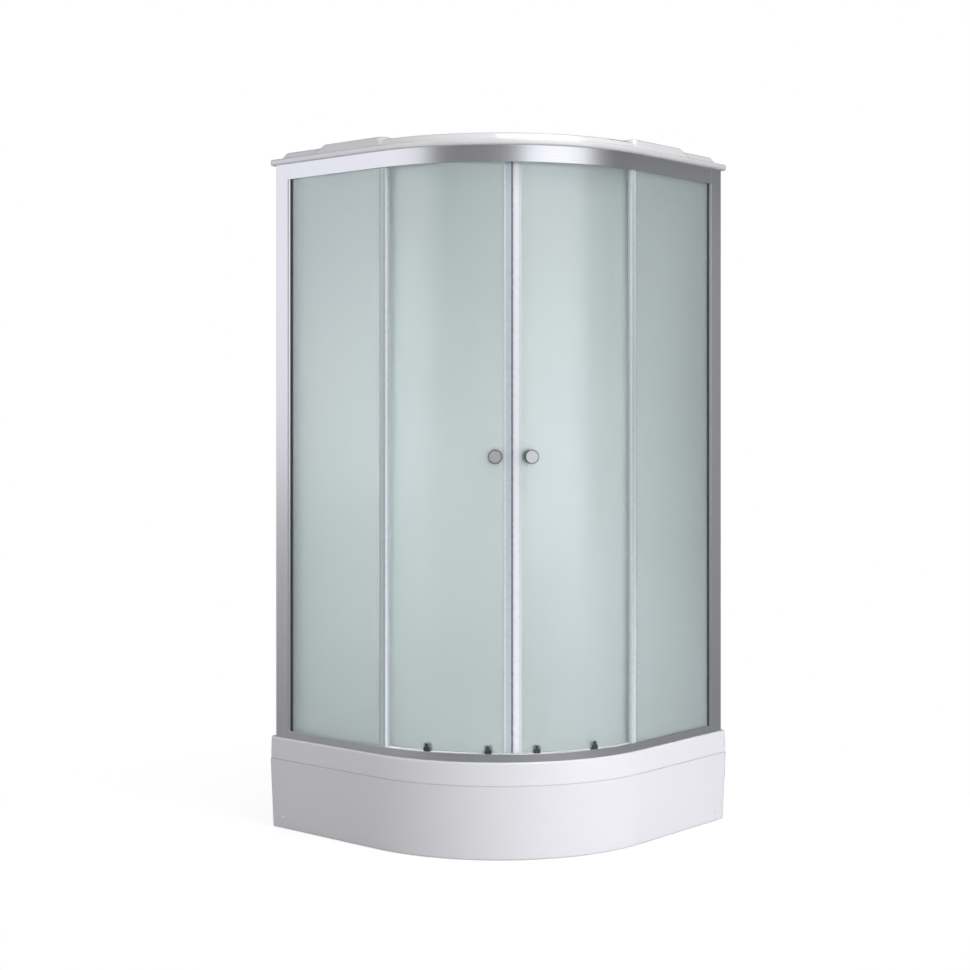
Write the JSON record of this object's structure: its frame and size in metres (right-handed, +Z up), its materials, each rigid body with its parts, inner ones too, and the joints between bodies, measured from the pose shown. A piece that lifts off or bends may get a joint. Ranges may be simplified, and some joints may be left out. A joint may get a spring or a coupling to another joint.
{
  "type": "quadrant shower enclosure",
  "caption": "Quadrant corner shower cabin: deep white tray with curved apron, frosted panes and curved sliding doors in an aluminium frame, back wall panels and moulded roof.",
  "frame": {"origin": "on the floor in the middle of the square footprint", "axes": "+Z up; the room walls lie at -X and +Y, and the curved front faces +X and -Y"},
  "size_m": [0.9, 0.9, 1.8695],
  "materials": {
    "white_acrylic": "glossy sanitary acrylic",
    "white_plastic": "moulded, smooth",
    "satin_aluminium": "satin anodised",
    "frosted_glass": "toughened, frosted",
    "clear_seal": "soft clear PVC",
    "grey_rubber": "matt",
    "chrome": "polished to satin",
    "dark_plastic": "moulded, matt",
    "zinc_steel": "zinc plated",
    "nylon": "moulded nylon"
  },
  "bodies": {
    "enclosure": {"tray_shell": "white_acrylic", "front_apron": "white_acrylic", "apron_screws": "zinc_steel", "apron_screw_caps": "white_plastic", "support_frame": "zinc_steel", "foot_stems": "zinc_steel", "foot_pads": "dark_plastic", "foot_lock_nuts": "zinc_steel", "drain_body": "white_plastic", "drain_gasket": "grey_rubber", "drain_locknut": "dark_plastic", "bottom_rail": "satin_aluminium", "top_rail": "satin_aluminium", "rail_stops": "grey_rubber", "corner_post": "satin_aluminium", "roof_shell": "white_acrylic", "roof_brackets": "zinc_steel", "roof_bracket_screws": "zinc_steel", "left_wall_profile": "satin_aluminium", "left_clamp_profile": "satin_aluminium", "left_fixed_glass": "frosted_glass", "left_glazing_gaskets": "grey_rubber", "left_end_seal": "clear_seal", "left_back_wall": "white_acrylic", "right_wall_profile": "satin_aluminium", "right_clamp_profile": "satin_aluminium", "right_fixed_glass": "frosted_glass", "right_glazing_gaskets": "grey_rubber", "right_end_seal": "clear_seal", "right_back_wall": "white_acrylic"},
    "left_door": {"left_door_glass": "frosted_glass", "left_magnet_seal": "clear_seal", "left_trailing_seal": "clear_seal", "left_outer_knob": "chrome", "left_inner_knob": "chrome", "left_knob_bolt": "zinc_steel", "left_knob_washers": "grey_rubber", "left_top_hangers": "zinc_steel", "left_bottom_guides": "dark_plastic", "left_roller_axles": "zinc_steel"},
    "right_door": {"right_door_glass": "frosted_glass", "right_magnet_seal": "clear_seal", "right_trailing_seal": "clear_seal", "right_outer_knob": "chrome", "right_inner_knob": "chrome", "right_knob_bolt": "zinc_steel", "right_knob_washers": "grey_rubber", "right_top_hangers": "zinc_steel", "right_bottom_guides": "dark_plastic", "right_roller_axles": "zinc_steel"},
    "left_rear_top_wheel": {"left_rear_top_wheel": "nylon"},
    "left_rear_bottom_wheel": {"left_rear_bottom_wheel": "nylon"},
    "left_front_top_wheel": {"left_front_top_wheel": "nylon"},
    "left_front_bottom_wheel": {"left_front_bottom_wheel": "nylon"},
    "right_rear_top_wheel": {"right_rear_top_wheel": "nylon"},
    "right_rear_bottom_wheel": {"right_rear_bottom_wheel": "nylon"},
    "right_front_top_wheel": {"right_front_top_wheel": "nylon"},
    "right_front_bottom_wheel": {"right_front_bottom_wheel": "nylon"},
    "drain_cover": {"drain_cover": "chrome"}
  },
  "joints": [
    {"name": "left_door_slide", "type": "hinge", "parent": "enclosure", "child": "left_door", "pos_m": [-0.061, 0.0586, 0], "axis": [0, 0, -1], "range_deg": [0, 26]},
    {"name": "left_rear_top_wheel_spin", "type": "hinge", "parent": "left_door", "child": "left_rear_top_wheel", "pos_m": [0.08905, -0.40199, 1.81355], "axis": [0.294, -0.9558, 0], "range_deg": [0, 1270]},
    {"name": "left_rear_bottom_wheel_spin", "type": "hinge", "parent": "left_door", "child": "left_rear_bottom_wheel", "pos_m": [0.08658, -0.39397, 0.2618], "axis": [0.294, -0.9558, 0], "range_deg": [0, 1780]},
    {"name": "left_front_top_wheel_spin", "type": "hinge", "parent": "left_door", "child": "left_front_top_wheel", "pos_m": [0.23624, -0.32643, 1.81355], "axis": [0.6053, -0.796, 0], "range_deg": [0, 1280]},
    {"name": "left_front_bottom_wheel_spin", "type": "hinge", "parent": "left_door", "child": "left_front_bottom_wheel", "pos_m": [0.23116, -0.31974, 0.2618], "axis": [0.6053, -0.796, 0], "range_deg": [0, 1790]},
    {"name": "right_door_slide", "type": "hinge", "parent": "enclosure", "child": "right_door", "pos_m": [-0.0586, 0.061, 0], "axis": [0, 0, 1], "range_deg": [0, 26]},
    {"name": "right_rear_top_wheel_spin", "type": "hinge", "parent": "right_door", "child": "right_rear_top_wheel", "pos_m": [0.40199, -0.08905, 1.81355], "axis": [-0.9558, 0.294, 0], "range_deg": [0, 1270]},
    {"name": "right_rear_bottom_wheel_spin", "type": "hinge", "parent": "right_door", "child": "right_rear_bottom_wheel", "pos_m": [0.39397, -0.08658, 0.2618], "axis": [-0.9558, 0.294, 0], "range_deg": [0, 1780]},
    {"name": "right_front_top_wheel_spin", "type": "hinge", "parent": "right_door", "child": "right_front_top_wheel", "pos_m": [0.32643, -0.23624, 1.81355], "axis": [-0.796, 0.6053, 0], "range_deg": [0, 1280]},
    {"name": "right_front_bottom_wheel_spin", "type": "hinge", "parent": "right_door", "child": "right_front_bottom_wheel", "pos_m": [0.31974, -0.23116, 0.2618], "axis": [-0.796, 0.6053, 0], "range_deg": [0, 1790]},
    {"name": "drain_cover_lift", "type": "slide", "parent": "enclosure", "child": "drain_cover", "axis": [0, 0, 1], "range_m": [0, 0.04]}
  ],
  "couplings": [
    {"joint": "left_rear_top_wheel_spin", "follows": "left_door_slide", "ratio": 48.442},
    {"joint": "left_rear_bottom_wheel_spin", "follows": "left_door_slide", "ratio": 68.003},
    {"joint": "left_front_top_wheel_spin", "follows": "left_door_slide", "ratio": 48.642},
    {"joint": "left_front_bottom_wheel_spin", "follows": "left_door_slide", "ratio": 68.288},
    {"joint": "right_rear_top_wheel_spin", "follows": "right_door_slide", "ratio": 48.442},
    {"joint": "right_rear_bottom_wheel_spin", "follows": "right_door_slide", "ratio": 68.003},
    {"joint": "right_front_top_wheel_spin", "follows": "right_door_slide", "ratio": 48.642},
    {"joint": "right_front_bottom_wheel_spin", "follows": "right_door_slide", "ratio": 68.288}
  ]
}
